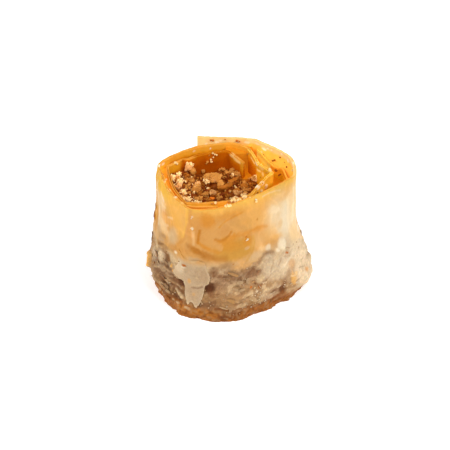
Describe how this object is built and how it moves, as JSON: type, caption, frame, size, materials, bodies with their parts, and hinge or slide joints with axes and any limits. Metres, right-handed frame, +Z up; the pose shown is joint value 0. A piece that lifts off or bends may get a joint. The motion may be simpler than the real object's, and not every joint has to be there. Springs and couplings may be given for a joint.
{
  "type": "rolled pecan baklava piece",
  "caption": "Piece of baklava standing on its cut end: crisp phyllo leaves rolled round chopped pecans, baked golden, with a torn crust at the foot.",
  "frame": {"origin": "at the foot, in the middle of the piece's bounding box", "axes": "+Z up along the roll's axis, -Y towards the front where the torn leaf is seen, +X to the right"},
  "size_m": [0.05, 0.0486, 0.0396],
  "materials": {
    "phyllo_pastry": "baked golden, lightly glazed with syrup",
    "pecan_filling": "chopped nuts, rough, partly moist with syrup"
  },
  "bodies": {
    "root": {"pastry_roll": "phyllo_pastry", "nut_filling": "pecan_filling"}
  },
  "joints": []
}
